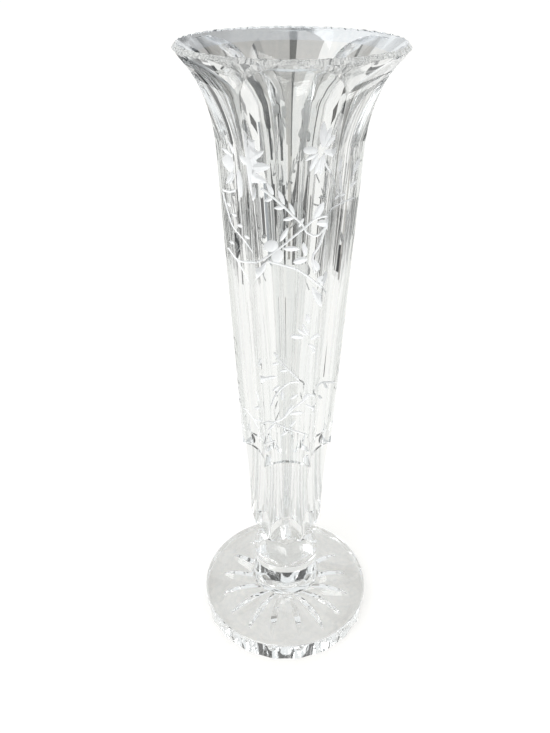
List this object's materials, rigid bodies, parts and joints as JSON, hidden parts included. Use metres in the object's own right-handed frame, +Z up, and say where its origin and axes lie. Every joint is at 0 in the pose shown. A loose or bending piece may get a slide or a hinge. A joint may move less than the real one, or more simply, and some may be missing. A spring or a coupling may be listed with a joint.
{
  "type": "cut glass vase",
  "caption": "Footed trumpet vase of clear cut crystal with panelled sides and a deep tapering hollow, which stands on a table and holds cut flowers in water.",
  "frame": {"origin": "middle of the foot's underside", "axes": "+Z up along the vase's axis to the mouth, -Y towards the viewer, with one panel of the bowl facing that way"},
  "size_m": [0.0924, 0.0924, 0.3],
  "materials": {
    "clear_crystal": "polished clear crystal with matt engraving"
  },
  "bodies": {
    "root": {"trumpet_bowl": "clear_crystal", "cut_stem": "clear_crystal", "star_foot": "clear_crystal"}
  },
  "joints": []
}
